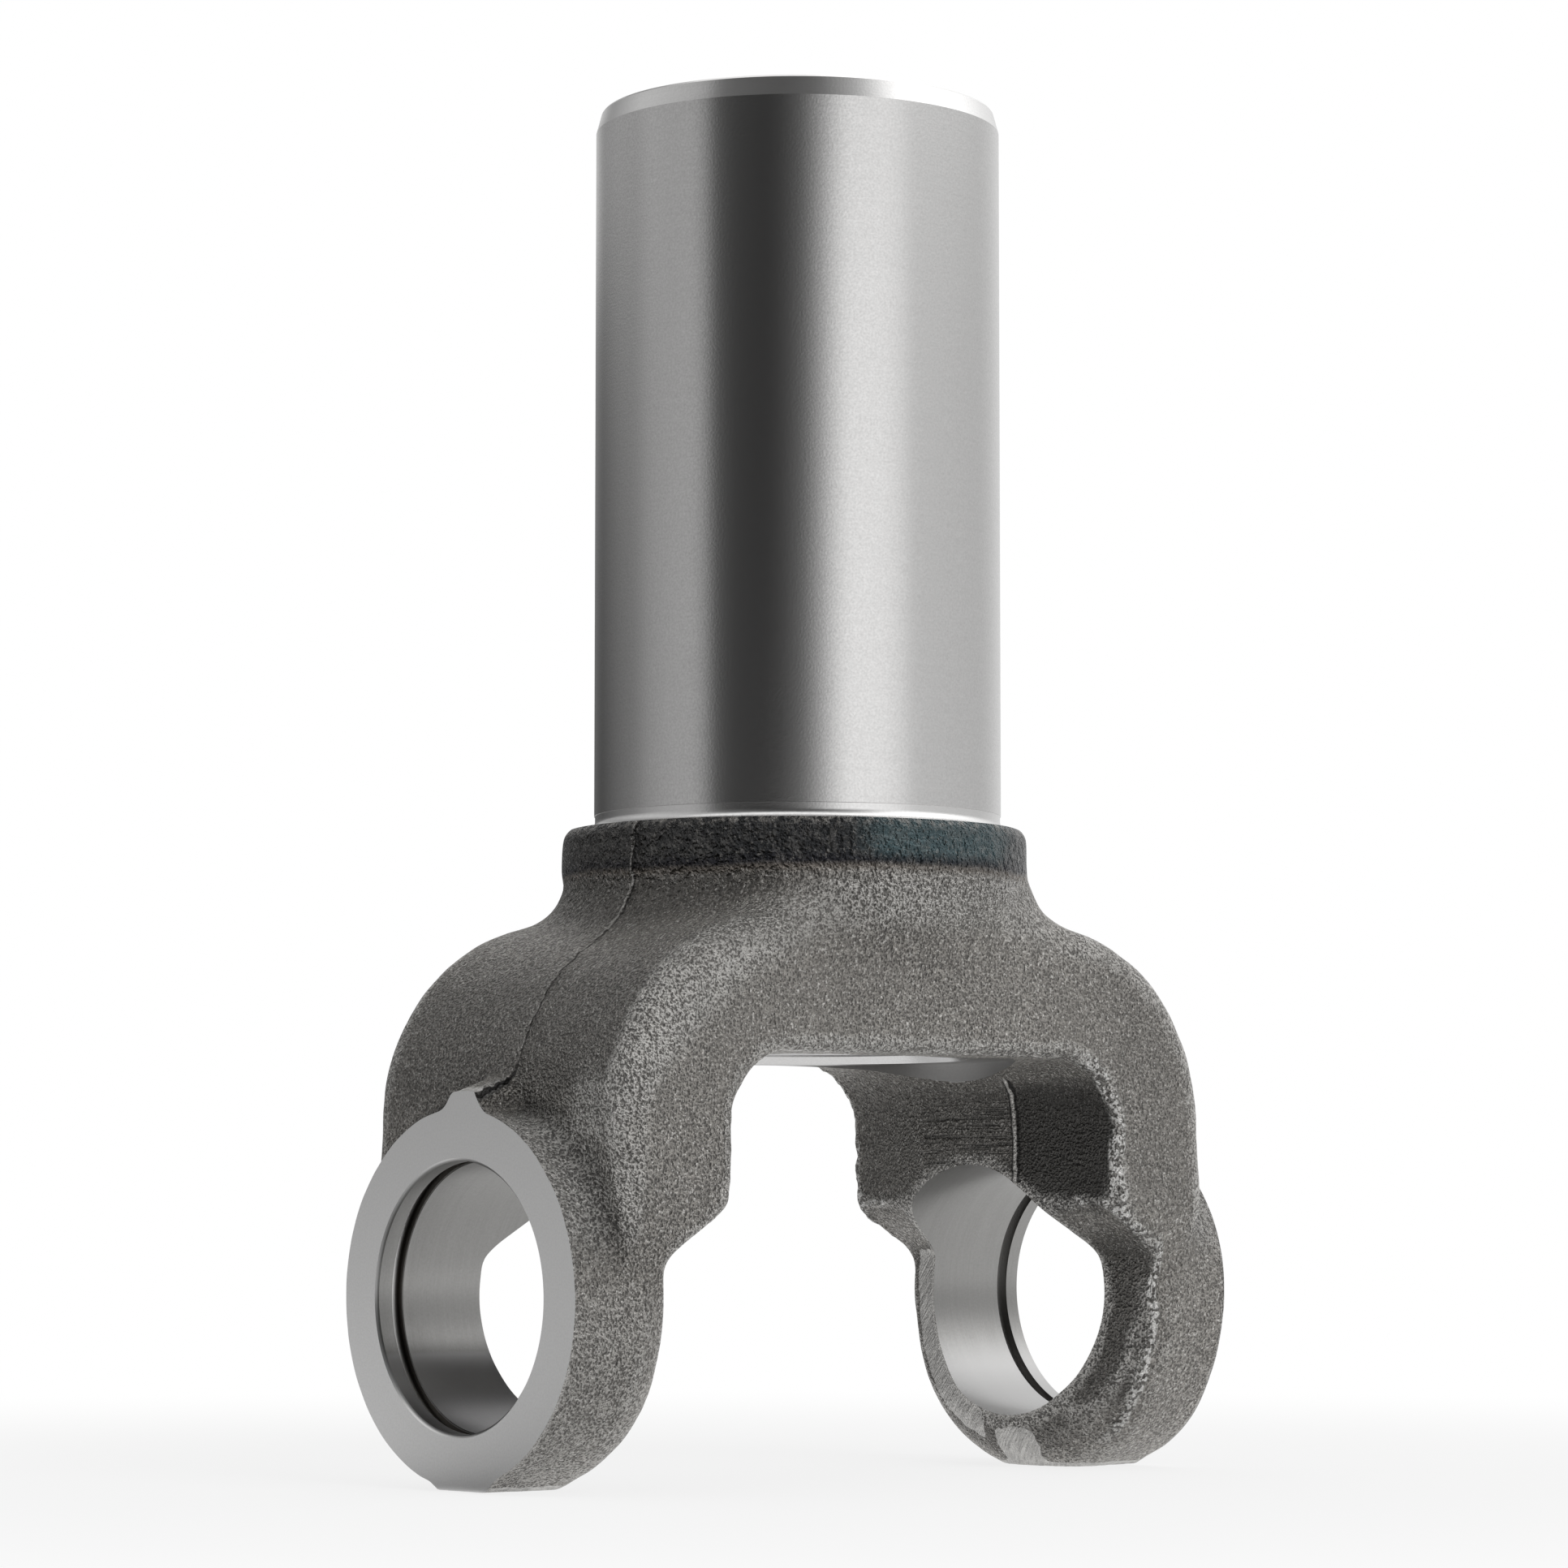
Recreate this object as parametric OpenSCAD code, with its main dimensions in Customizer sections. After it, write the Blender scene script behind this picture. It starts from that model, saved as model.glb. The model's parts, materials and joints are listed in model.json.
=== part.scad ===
// Slip yoke: a forged fork with a ground, splined barrel. Millimetres.
// The origin is the centre of the cross, +X runs through the cap bores and
// +Z along the barrel to its open end. The dies part on the plane y = 0.

/* [Barrel] */
// outside diameter of the ground barrel
barrel_d = 47.88; // [36:0.02:60]
// cross centre to the open end of the barrel
end_z = 139.4; // [110:0.1:190]
// height of the chamfer at the open end
end_cham_h = 2.4; // [0.5:0.1:5]
// depth of that chamfer into the radius
end_cham_r = 0.6; // [0.3:0.1:3]
// height over the shoulder where the ground surface begins
ground_h = 1.8; // [0.8:0.1:4]
// how far the turned run-out beside the shoulder lies below it
runout_d = 0.1; // [0.05:0.05:0.5]

/* [Spline] */
// number of internal teeth
teeth = 32; // [20:1:40]
// diameter across the tips of the internal teeth
spline_minor_d = 32.8; // [26:0.1:38]
// diameter across the roots between them
spline_major_d = 35.3; // [28:0.1:40]
// cross centre to the inner end of the teeth
spline_low_z = 60; // [50:1:90]
// diameter of the plain bore below the teeth
clear_d = 36.2; // [30:0.1:40]
// diameter of the seat for the closing plug in the crotch
plug_d = 38.1; // [30:0.1:44]
// depth of that seat from the crotch face
plug_h = 3.6; // [2:0.1:8]

/* [Collar] */
// diameter of the rough collar under the barrel
collar_d = 54.6; // [50:0.1:66]
// cross centre to the turned shoulder on the collar
shoulder_z = 53.9; // [50:0.1:60]
// sideways step between the forged collar and the turned axis
collar_off = -0.4; // [-1.5:0.1:1.5]
// radius where the collar runs out onto the arch
flare_r = 5.4; // [3:0.1:8]

/* [Fork] */
// half width of the web across the parting plane
web_w = 23.4; // [20:0.1:28]
// outer half spread of the arms
arm_out = 44.9; // [40:0.1:48]
// inner half spread of the arms on the parting plane
arm_in = 27.4; // [24:0.1:30]
// how far the inside falls back to the web's faces
arm_draft = 2.1; // [0.5:0.1:4]
// outer radius of the bend from arm to arch
bend_r = 23.6; // [18:0.1:26]
// top of the arch under the collar
arch_z = 42.8; // [38:0.1:48]
// radius on the outer edges of the web
edge_out_r = 4; // [1:0.1:6]
// radius on the inner edges of the web
edge_in_r = 3; // [1:0.1:5]
// half width of the band left by trimming the flash
trim_w = 8; // [3:0.1:12]

/* [Ears] */
// half distance over the milled ear faces
face_x = 49.74; // [46:0.01:56]
// radius of the ear at its milled face
ear_r = 20.9; // [18:0.1:25]
// growth of that radius toward the ear's inner side
ear_flare = 0.7; // [0:0.1:2]
// radius of the forged round between the ear's flank and its inner face
ear_round = 7; // [3:0.1:9]
// inner face of the ear on the parting plane
ear_in = 33; // [30:0.1:38]
// fall of that face per millimetre away from the parting plane
ear_slope = 0.245; // [0.1:0.005:0.4]
// how far the flats on the ear tips stand out past the ear
tip_out = 0.3; // [0.1:0.1:2]
// near edge of the trimmed flash on the tips
tip_y0 = -4.2; // [-9:0.1:-2]
// far edge of the trimmed flash on the tips
tip_y1 = 2.4; // [1:0.1:9]
// how far the trimmed flash on top of the ears stands out
tab_out = 1.75; // [0.5:0.05:3]
// near edge of that flash
tab_y0 = -2.8; // [-6:0.1:-1]
// far edge of that flash
tab_y1 = 1.1; // [0.5:0.1:5]

/* [Cap bores] */
// bore for the bearing cap
cap_d = 30.16; // [26:0.01:36]
// chamfer at the mouth of the bore
cap_cham = 0.35; // [0.1:0.05:1]
// milled ear face to the outer wall of the snap ring groove
groove_edge = 2.14; // [1:0.01:4]
// width of the snap ring groove
groove_w = 1.56; // [1:0.01:2.5]
// depth of the snap ring groove
groove_d = 0.95; // [0.4:0.05:2]

/* [Crotch] */
// depth of the spot face into the crotch
spot_h = 0.7; // [0.2:0.1:3]
// radius swept by the spot facing cutter
spot_r = 25.5; // [20:0.1:27]

/* [Hidden] */
barrel_r = barrel_d / 2;
collar_r = collar_d / 2;
cap_r = cap_d / 2;
bend_x = arm_out - bend_r;
bend_z = arch_z - bend_r;
in_crest = arm_in - bend_x;
crotch_rise = 1.2;
corner_fill = 0.4;
crotch_z = bend_z + in_crest + crotch_rise;
spot_z = crotch_z + spot_h;
ear_in_r = ear_r + ear_flare;
round_x = ear_in + ear_round + 0.7;
tip_z = ear_r + tip_out;
tab_z = ear_r + tab_out;
groove_out = face_x - groove_edge;
// past every edge of an ear
reach = ear_r + 9;
// the arm stands between these levels, then gives way to the ear
neck_top = 11.2;
neck_low = 3.4;
root_z = -4;
sunk = 0.4;
steel = [0.55, 0.54, 0.52];

function ease(t) = let (c = min(1, max(0, t))) c * c * (3 - 2 * c);

// how far the arch is lifted toward the collar at a point of its top
function lift(x, y) =
    let (d = min(flare_r, max(0, collar_r + flare_r - norm([x, y]))))
    flare_r - sqrt(flare_r * flare_r - d * d);

// half of one cross section as [distance out, y], from mid outside to mid inside
function half_ring(crest, fall, out, w) = concat(
    [for (k = [1 : 6]) [out, k / 7 * (w - edge_out_r)]],
    [for (a = [0 : 22.5 : 90])
        [out - edge_out_r * (1 - cos(a)), w - edge_out_r * (1 - sin(a))]],
    [for (a = [0 : 22.5 : 90])
        let (y = w - edge_in_r * (1 - cos(a)))
        let (base = crest + fall * (w - edge_in_r - trim_w) / (w - trim_w))
        [base + edge_in_r * (1 - sin(a)), y]],
    [[crest, trim_w]]);

function whole_ring(h) = concat(
    [[h[0][0], 0]],
    h,
    [for (i = [len(h) - 1 : -1 : 0]) [h[i][0], -h[i][1]]]);

// points on the outside of a ring rise with the lift, the rest stay
function raised(p, outside) = [p[0], p[1], p[2] + (outside ? lift(p[0], p[1]) : 0)];

// a section of the bend, a degrees round from the arm toward the arch
function bend_ring(a) =
    let (drop = crotch_rise * ease(a / 60))
    let (fall = arm_draft - drop - corner_fill * sin(2 * a))
    let (ring = whole_ring(half_ring(in_crest + drop, fall, bend_r, web_w)))
    [for (p = ring)
        raised([bend_x + p[0] * cos(a), p[1], bend_z + p[0] * sin(a)],
            p[0] > bend_r - edge_out_r)];

// a section of the arch between the bends
function arch_ring(x) =
    let (ring = whole_ring(half_ring(
        in_crest + crotch_rise, arm_draft - crotch_rise, bend_r, web_w)))
    [for (p = ring) raised([x, p[1], bend_z + p[0]], p[0] > bend_r - edge_out_r)];

// a level section of the arm, sinking into the ear below the neck
function arm_ring(z) =
    let (s = ease((neck_top - z) / (neck_top - neck_low)))
    let (crest = arm_in + (ear_in + sunk - arm_in) * s)
    let (fall = arm_draft + (ear_slope * (web_w - trim_w) - arm_draft) * s)
    let (w = web_w - (web_w - ear_r + 2 * sunk) * ease((13 - z) / (13 - root_z)))
    [for (p = whole_ring(half_ring(crest, fall, arm_out, w))) [p[0], p[1], z]];

arm_levels = [for (k = [0 : 15]) root_z + (bend_z - root_z) * k / 16];
half_fork = concat(
    [for (z = arm_levels) arm_ring(z)],
    [for (a = [0 : 7.5 : 37.5]) bend_ring(a)],
    [for (a = [45 : 5 : 90]) bend_ring(a)],
    [for (k = [1 : 8]) arch_ring(bend_x * (1 - k / 9))]);
half_count = len(half_fork);

function turned(ring) = [for (p = ring) [-p[0], p[1], p[2]]];

all_rings = concat(
    half_fork,
    [arch_ring(0)],
    [for (i = [half_count - 1 : -1 : 0]) turned(half_fork[i])]);

function middle(ring) = [for (k = [0 : 2]) [for (p = ring) p[k]] * [for (p = ring) 1] / len(ring)];

// a skin over a row of rings, closed at each end by a fan about its middle
module skin(rings) {
    m = len(rings[0]);
    n = len(rings);
    points = concat(
        [for (r = rings) for (p = r) p],
        [middle(rings[0]), middle(rings[n - 1])]);
    sides = [for (i = [0 : n - 2]) for (j = [0 : m - 1])
        let (a = i * m + j, b = i * m + (j + 1) % m)
        for (f = [[a, b + m, b], [a, a + m, b + m]]) f];
    start = [for (j = [0 : m - 1]) [n * m, j, (j + 1) % m]];
    end = [for (j = [0 : m - 1])
        [n * m + 1, (n - 1) * m + (j + 1) % m, (n - 1) * m + j]];
    polyhedron(points = points, faces = concat(sides, start, end), convexity = 8);
}

// the ear on the +X side, before milling and boring
module ear() {
    out_x = face_x + 2;
    out_r = ear_r - ear_flare * 2 / (face_x - round_x);
    profile = concat(
        [[0, ear_in - 2], [0, out_x], [out_r, out_x]],
        [for (a = [0 : 22.5 : 90])
            [ear_in_r - ear_round * (1 - cos(a)), round_x - ear_round * sin(a)]]);
    fall_x = ear_in + ear_slope * (reach - trim_w);
    intersection() {
        rotate([0, 90, 0])
            rotate_extrude($fn = 96)
                polygon(profile);
        translate([0, 0, -reach])
            linear_extrude(2 * reach)
                polygon([
                    [ear_in, 2 - trim_w], [ear_in, trim_w - 2],
                    [fall_x, reach - 2], [out_x + 3, reach - 2],
                    [out_x + 3, 2 - reach], [fall_x, 2 - reach]]);
    }
    // trimmed flash above the ear
    translate([arm_out - 3, 0, 0])
        rotate([90, 0, 90])
            linear_extrude(out_x - arm_out + 3)
                polygon([
                    [tab_y0 - 2.2, ear_r - 1.4], [tab_y1 + 2.3, ear_r - 1.4],
                    [tab_y1 + 1.1, tab_z - 1.25], [tab_y1, tab_z],
                    [tab_y0, tab_z], [tab_y0 - 1.1, tab_z - 1.25]]);
    // trimmed flash on its tip
    translate([ear_in + 6, 0, 0])
        rotate([90, 0, 90])
            linear_extrude(out_x - ear_in - 6)
                polygon([
                    [tip_y0 - 3.4, 2.6 - tip_z], [tip_y0, -tip_z - 0.4],
                    [tip_y1, -tip_z - 0.4], [tip_y1 + 2.4, 1.4 - tip_z]]);
}

// the rough collar, tapering into the web at the front and back
module collar() {
    low = crotch_z + 4.4;
    side = [[-7.8, -22.9], [-5, -18.4], [-2.9, -13.9], [-1.3, -10.3], [-0.4, -7.7],
        [0, -5.3], [0, -1.7], [-0.25, -0.9], [-0.8, -0.35], [-1.8, -0.08]];
    translate([collar_off, 0, 0])
        rotate_extrude($fn = 128)
            polygon(concat(
                [[0, low]],
                [for (p = side) [collar_r + p[0], max(low, shoulder_z + p[1])]],
                [[barrel_r + 0.4, shoulder_z], [0, shoulder_z]]));
}

module barrel() {
    // the small fillet at the shoulder, then the run-out, turned slightly conical
    foot = [[0.8, -4], [0.8, 0.06], [0.35, 0.25], [0.06, 0.6],
        [-runout_d * 1.3, min(1.3, ground_h - 0.3)], [-runout_d, ground_h]];
    cham_z = end_z - end_cham_h;
    rotate_extrude($fn = 160)
        polygon(concat(
            [[0, shoulder_z - 14]],
            [for (p = foot) [barrel_r + p[0], shoulder_z + p[1]]],
            [[barrel_r, shoulder_z + ground_h], [barrel_r, cham_z],
                [barrel_r - end_cham_r * 0.42, cham_z + end_cham_h * 0.55],
                [barrel_r - end_cham_r, end_z], [0, end_z]]));
}

// the toothed opening as a flat shape
module tooth_ring() {
    step = 360 / teeth;
    r1 = spline_minor_d / 2;
    r2 = spline_major_d / 2;
    polygon([for (i = [0 : teeth - 1])
        for (q = [[r1, -0.32], [r2, -0.17], [r2, 0.17], [r1, 0.32]])
            [q[0] * cos((i + q[1]) * step), q[0] * sin((i + q[1]) * step)]]);
}

module long_bore() {
    r1 = spline_minor_d / 2;
    r2 = spline_major_d / 2;
    seat_z = spot_z + plug_h;
    translate([0, 0, spline_low_z - 2])
        linear_extrude(end_z - spline_low_z + 4)
            tooth_ring();
    // plain bore below the teeth, plug seat, and the lead at the mouth
    rotate_extrude($fn = 96)
        polygon([
            [0, neck_top], [plug_d / 2, neck_top], [plug_d / 2, seat_z],
            [clear_d / 2, seat_z], [clear_d / 2, spline_low_z - 1.2],
            [r1 - 0.2, spline_low_z + 0.4], [0, spline_low_z + 0.4]]);
    rotate_extrude($fn = 96)
        polygon([
            [0, end_z - 3], [r1 - 0.2, end_z - 2.2], [r2 + 0.7, end_z], [r2 + 1.7, end_z + 1],
            [0, end_z + 1]]);
}

module cap_bore() {
    rotate([0, 90, 0]) {
        translate([0, 0, -face_x - 3])
            cylinder(r = cap_r, h = 2 * face_x + 6, $fn = 128);
        for (s = [-1, 1]) {
            translate([0, 0, s * (groove_out - groove_w / 2) - groove_w / 2])
                cylinder(r = cap_r + groove_d, h = groove_w, $fn = 128);
            translate([0, 0, s * face_x])
                mirror([0, 0, s < 0 ? 1 : 0])
                    translate([0, 0, -cap_cham - 0.5])
                        cylinder(r1 = cap_r - 0.5, r2 = cap_r + cap_cham + 1,
                            h = cap_cham + 1.5, $fn = 128);
        }
    }
}

module yoke() {
    color(steel)
        difference() {
            union() {
                skin(all_rings);
                ear();
                mirror([1, 0, 0])
                    ear();
                collar();
                barrel();
            }
            // milled ear faces and tip flats
            for (s = [-1, 1])
                translate([s * (face_x + 10) - 10, -reach, -reach])
                    cube([20, 2 * reach, 2 * reach]);
            translate([-face_x - 10, -reach, -tip_z - 10])
                cube([2 * face_x + 20, 2 * reach, 10]);
            // spot face in the crotch
            translate([0, 0, neck_top])
                cylinder(r = spot_r, h = spot_z - neck_top, $fn = 128);
            cap_bore();
            long_bore();
        }
}

yoke();
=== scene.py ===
import json
import math
from types import SimpleNamespace
import bpy
import numpy as np
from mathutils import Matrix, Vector


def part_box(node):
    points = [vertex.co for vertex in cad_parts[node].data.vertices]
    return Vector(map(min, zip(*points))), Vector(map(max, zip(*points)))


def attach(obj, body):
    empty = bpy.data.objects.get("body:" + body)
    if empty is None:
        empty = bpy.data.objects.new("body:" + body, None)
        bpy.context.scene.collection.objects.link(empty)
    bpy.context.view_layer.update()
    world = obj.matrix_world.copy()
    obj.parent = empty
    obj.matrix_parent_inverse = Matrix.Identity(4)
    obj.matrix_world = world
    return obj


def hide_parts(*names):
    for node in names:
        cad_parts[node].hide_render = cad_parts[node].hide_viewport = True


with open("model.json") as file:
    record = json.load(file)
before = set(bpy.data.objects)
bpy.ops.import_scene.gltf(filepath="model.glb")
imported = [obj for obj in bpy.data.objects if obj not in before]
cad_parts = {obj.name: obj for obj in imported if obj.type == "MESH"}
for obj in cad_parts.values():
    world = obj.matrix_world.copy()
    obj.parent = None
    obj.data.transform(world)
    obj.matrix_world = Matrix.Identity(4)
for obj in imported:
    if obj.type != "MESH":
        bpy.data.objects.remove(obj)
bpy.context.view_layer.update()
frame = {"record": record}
low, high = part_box("yoke")
mounts = {m["name"]: m for m in frame["record"]["mounts"]}
mm = 0.001

# shared sizes in millimetres, read from the frame
faceX = high.x / mm
endZ = high.z / mm
tipZ = low.z / mm
capR = mounts["cross_bores"]["dims"]["r_mm"]
barrelR = mounts["barrel"]["dims"]["r_mm"]
seatR = mounts["plug_seat"]["dims"]["r_mm"]
seatH = mounts["plug_seat"]["dims"]["length_mm"]

latticeSize = 32
lattice = np.random.default_rng(7).random((latticeSize,) * 3)

# a turned solid's profile starts and ends this near its axis
shellCore = 0.3
cutterCore = 0.2


# smooth step: 3t^2 - 2t^3, held at 0 and 1 outside
def ease(t):
    c = np.clip(t, 0, 1)
    return c * c * (3 - 2 * c)


# 0 before a start, 1 once the value is a length past it, and eased between
# a minus length counts downward
def rise(value, start, length):
    return ease((value - start) / length)


# value noise from -1 to 1: random numbers on a cubic lattice, eased between its corners
def noise(points, size):
    q = points / size
    cell = np.floor(q).astype(int)
    f = ease(q - cell)
    total = np.zeros(len(points))
    for corner in np.ndindex(2, 2, 2):
        share = np.prod(np.where(corner, f, 1 - f), axis=1)
        i, j, k = ((cell + corner) % latticeSize).T
        total += share * lattice[i, j, k]
    return 2 * total - 1


# quads between neighbouring rows of a grid whose rows close on themselves
def gridFaces(rows, columns):
    i, j = np.meshgrid(np.arange(rows - 1), np.arange(columns), indexing="ij")
    k = (j + 1) % columns
    here, after = i * columns, (i + 1) * columns
    return np.stack([here + j, here + k, after + k, after + j], axis=-1).reshape(-1, 4)


# a row of closed rings as one shell, its two ends closed by flat faces
def closedSkin(rings):
    rows, columns = rings.shape[:2]
    quads = gridFaces(rows, columns)
    last = (rows - 1) * columns
    ends = [list(range(columns))[::-1], list(range(last, last + columns))]
    return rings.reshape(-1, 3), quads.tolist() + ends


# a profile of (radius, height) pairs turned about an axis: radius cos a, radius sin a, height
def turnedRings(profile, steps, axis="z", offset=(0, 0, 0)):
    radius, height = np.array(profile, float).T
    a = np.linspace(0, 2 * math.pi, steps, endpoint=False)
    across, up = radius[:, None] * np.cos(a), radius[:, None] * np.sin(a)
    along = np.repeat(height[:, None], steps, axis=1)
    order = (across, up, along) if axis == "z" else (along, across, up)
    return np.stack(order, axis=-1) + np.array(offset)


def newObject(name, data):
    made = bpy.data.objects.new(name, data)
    bpy.context.scene.collection.objects.link(made)
    return made


def meshObject(name, points, faces):
    mesh = bpy.data.meshes.new(name)
    mesh.from_pydata((points * mm).tolist(), [], faces)
    mesh.validate()
    mesh.update()
    return newObject(name, mesh)


# one property of all elements of a mesh, as an array with a row for each
def readRows(elements, name, width, kind=float):
    flat = np.empty(len(elements) * width, kind)
    elements.foreach_get(name, flat)
    return flat.reshape(-1, width)


def readPoints(mesh):
    return readRows(mesh.vertices, "co", 3) / mm


def readNormals(mesh):
    return readRows(mesh.vertex_normals, "vector", 3)


def readEdges(mesh):
    return readRows(mesh.edges, "vertices", 2, int)


def writePoints(mesh, points):
    mesh.vertices.foreach_set("co", (points * mm).ravel())
    mesh.update()


# which way each point looks along X: 1 away from the middle, -1 toward it
def outward(points, normals):
    return np.sign(points[:, 0]) * normals[:, 0]


# each round moves every point by its weight toward the mean of its neighbours
def settle(points, edges, weight, rounds):
    a, b = edges.T
    size = len(points)
    count = np.bincount(edges.ravel(), minlength=size)[:, None]
    out = points.copy()
    for _ in range(rounds):
        near = [np.bincount(a, out[b, k], size) + np.bincount(b, out[a, k], size) for k in range(3)]
        out += weight[:, None] * (np.stack(near, axis=1) / np.maximum(count, 1) - out)
    return out


# the mesh that an object shows with its modifiers, as a new object in its place
def applied(name, source):
    graph = bpy.context.evaluated_depsgraph_get()
    mesh = bpy.data.meshes.new_from_object(source.evaluated_get(graph))
    mesh.name = name
    bpy.data.objects.remove(source)
    return newObject(name, mesh)


# the fork is one bar bent over the crotch; a pair is a start and a length for rise
fork = {
    "halfWidth": 23.4, "outSpread": 44.9, "inSpread": 27.4, "draft": 2.1, "bendRadius": 23.6,
    "archTop": 42.8, "crotchRise": 1.2,
    "riseTurn": 60,  # degrees of the bend that the rise takes
    "cornerFill": 0.4, "edgeOut": 4.0,
    "edgeLow": 2.4,  # the arms' outer edges are crisper toward the ears
    "edgeGrow": (6, 16), "edgeIn": 1.5, "trimBand": 8.0, "shearX": 37.7, "neckTop": 11.2,
    "neckLow": 3.4, "neckPast": 0.4,
    "waist": (13, -17),  # the arms narrow down to the ears
    "waistIn": 0.8, "rootZ": -4.0, "flareRadius": 5.4,
}
ear = {
    "radius": 20.9, "flare": 0.7, "round": 7.0, "roundPast": 0.7, "inside": 33.0, "slope": 0.245,
    "stock": 2.0,  # milled off the outer face
    "tabTop": 22.65, "tabClimb": 0.37, "tabFront": (-4.4, 1.4), "tabBack": (2.7, -1.4),
    "tipFront": (-7.2, 3.0), "tipBack": (4.8, -2.4), "tipFrom": 4.0,
    "sag": 0.7,  # the right ear's lower half is fuller
    "sagBelow": (-4, -14),
}
collar = {"radius": 27.3, "shoulderZ": 53.9, "offset": -0.4, "coreFoot": 8}
bendX = fork["outSpread"] - fork["bendRadius"]
bendZ = fork["archTop"] - fork["bendRadius"]
crotchZ = bendZ + fork["inSpread"] - bendX + fork["crotchRise"]
spotZ = crotchZ + 0.7


# half of a bar section from mid outside to mid inside, as distance out and y:
# a flat, a round, the side, a round, the drafted inside and the trimmed band
def halfSection(crest, fall, width, eo, p):
    turn = np.linspace(0, math.pi / 2, 10)[None, :]
    out, ei, band = p["bendRadius"], p["edgeIn"], p["trimBand"]
    base = crest + fall * (width - ei - band) / (width - band)
    step = np.linspace(0, 1, 26)[None, :]
    flat = (np.full_like(crest * step, out), step * (width - eo))
    outer = (out - eo * (1 - np.cos(turn)) + 0 * crest, width - eo * (1 - np.sin(turn)))
    side = ((out - eo) + (base + ei - out + eo) * step[:, 1:-1], width + 0 * step[:, 1:-1])
    inner = (base + ei * (1 - np.sin(turn)), width - ei * (1 - np.cos(turn)))
    slope = (base + (crest - base) * step[:, 1:], width - ei + (band - width + ei) * step[:, 1:])
    flatIn = (crest + 0 * step[:, 1::3], band * (1 - step[:, 1::3]) + 0 * crest)
    distance, across = zip(flat, outer, side, inner, slope, flatIn)
    return np.concatenate(distance, axis=1), np.concatenate(across, axis=1)


# the bar's section carried up the arm, round the bend by an angle and over the arch, then mirrored
def forkRings(p):
    arm, bend = bendZ - p["rootZ"], p["bendRadius"] * math.pi / 2
    s = np.linspace(0, arm + bend + bendX, 150)[:, None]
    turn = np.clip((s - arm) / p["bendRadius"], 0, math.pi / 2)
    baseX = bendX - np.clip(s - arm - bend, 0, None)
    baseZ = p["rootZ"] + np.clip(s, 0, arm)
    sink = ease((p["neckTop"] - baseZ) / (p["neckTop"] - p["neckLow"]))
    drop = p["crotchRise"] * ease(np.degrees(turn) / p["riseTurn"])
    crest = p["inSpread"] - bendX + drop + (ear["inside"] + p["neckPast"] - p["inSpread"]) * sink
    fall = p["draft"] - drop - p["cornerFill"] * np.sin(2 * turn)
    fall = fall + (ear["slope"] * (p["halfWidth"] - p["trimBand"]) - p["draft"]) * sink
    width = p["halfWidth"] - (p["halfWidth"] - ear["radius"] + p["waistIn"]) * rise(baseZ, *p["waist"])
    edge = p["edgeLow"] + (p["edgeOut"] - p["edgeLow"]) * rise(baseZ, *p["edgeGrow"])
    d, y = halfSection(crest, fall, width, edge, p)
    d, y = np.hstack([d, d[:, -2:0:-1]]), np.hstack([y, -y[:, -2:0:-1]])
    x, z = baseX + d * np.cos(turn), baseZ + d * np.sin(turn)
    # the hollow fillet where the arch rises into the collar
    flare = p["flareRadius"]
    inside = np.clip(collar["radius"] + flare - np.hypot(x, y), 0, flare)
    z += (flare - np.sqrt(flare ** 2 - inside ** 2)) * ease((d - p["bendRadius"] + edge) / edge)
    half = np.stack([x, y, z], axis=-1)
    other = half[-2::-1] * np.array([-1, 1, 1])
    return np.concatenate([half, other])


# a flank turned about X with a forged round, its inner side held to a shallow V,
# and the trimmed flash drawn out at its top and tip
def earRings(p, side):
    roundX = p["inside"] + p["round"] + p["roundPast"]
    growth = p["flare"] / (faceX - roundX)
    wide = p["radius"] + p["flare"]
    stockX = faceX + p["stock"]
    turn = np.linspace(0, math.pi / 2, 9)
    profile = [(r, p["inside"] - 3) for r in np.linspace(shellCore, wide - p["round"], 16)[:-1]]
    profile += [(wide - p["round"] * (1 - math.sin(t)), roundX - p["round"] * math.cos(t)) for t in turn]
    profile += [(p["radius"] + growth * (faceX - x), x) for x in np.linspace(roundX + 1, stockX, 10)]
    profile += [(r, stockX) for r in np.linspace(p["radius"] - 1, shellCore, 8)]
    rings = turnedRings(profile, 150, axis="x")
    x, y, z = rings[..., 0], rings[..., 1], rings[..., 2]
    if side > 0:
        full = 1 + p["sag"] / p["radius"] * rise(z, *p["sagBelow"])
        y, z = y * full, z * full
    vFace = p["inside"] + p["slope"] * np.clip(np.abs(y) - fork["trimBand"] + 2, 0, None)
    x = np.maximum(x, vFace)
    tab = rise(y, *p["tabFront"]) * rise(y, *p["tabBack"]) * (z > 17) * (x > 41)
    tabTop = p["tabTop"] + p["tabClimb"] * np.clip(faceX - x, 0, 7)
    z = z + np.clip(tabTop - z, 0, None) * tab
    tip = rise(y, *p["tipFront"]) * rise(y, *p["tipBack"]) * (z < -15)
    tip = tip * rise(x, p["inside"] + p["tipFrom"], 3)
    z = z - np.clip(z - tipZ + 0.3, 0, None) * tip
    return np.stack([side * x, y, z], axis=-1)


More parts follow.
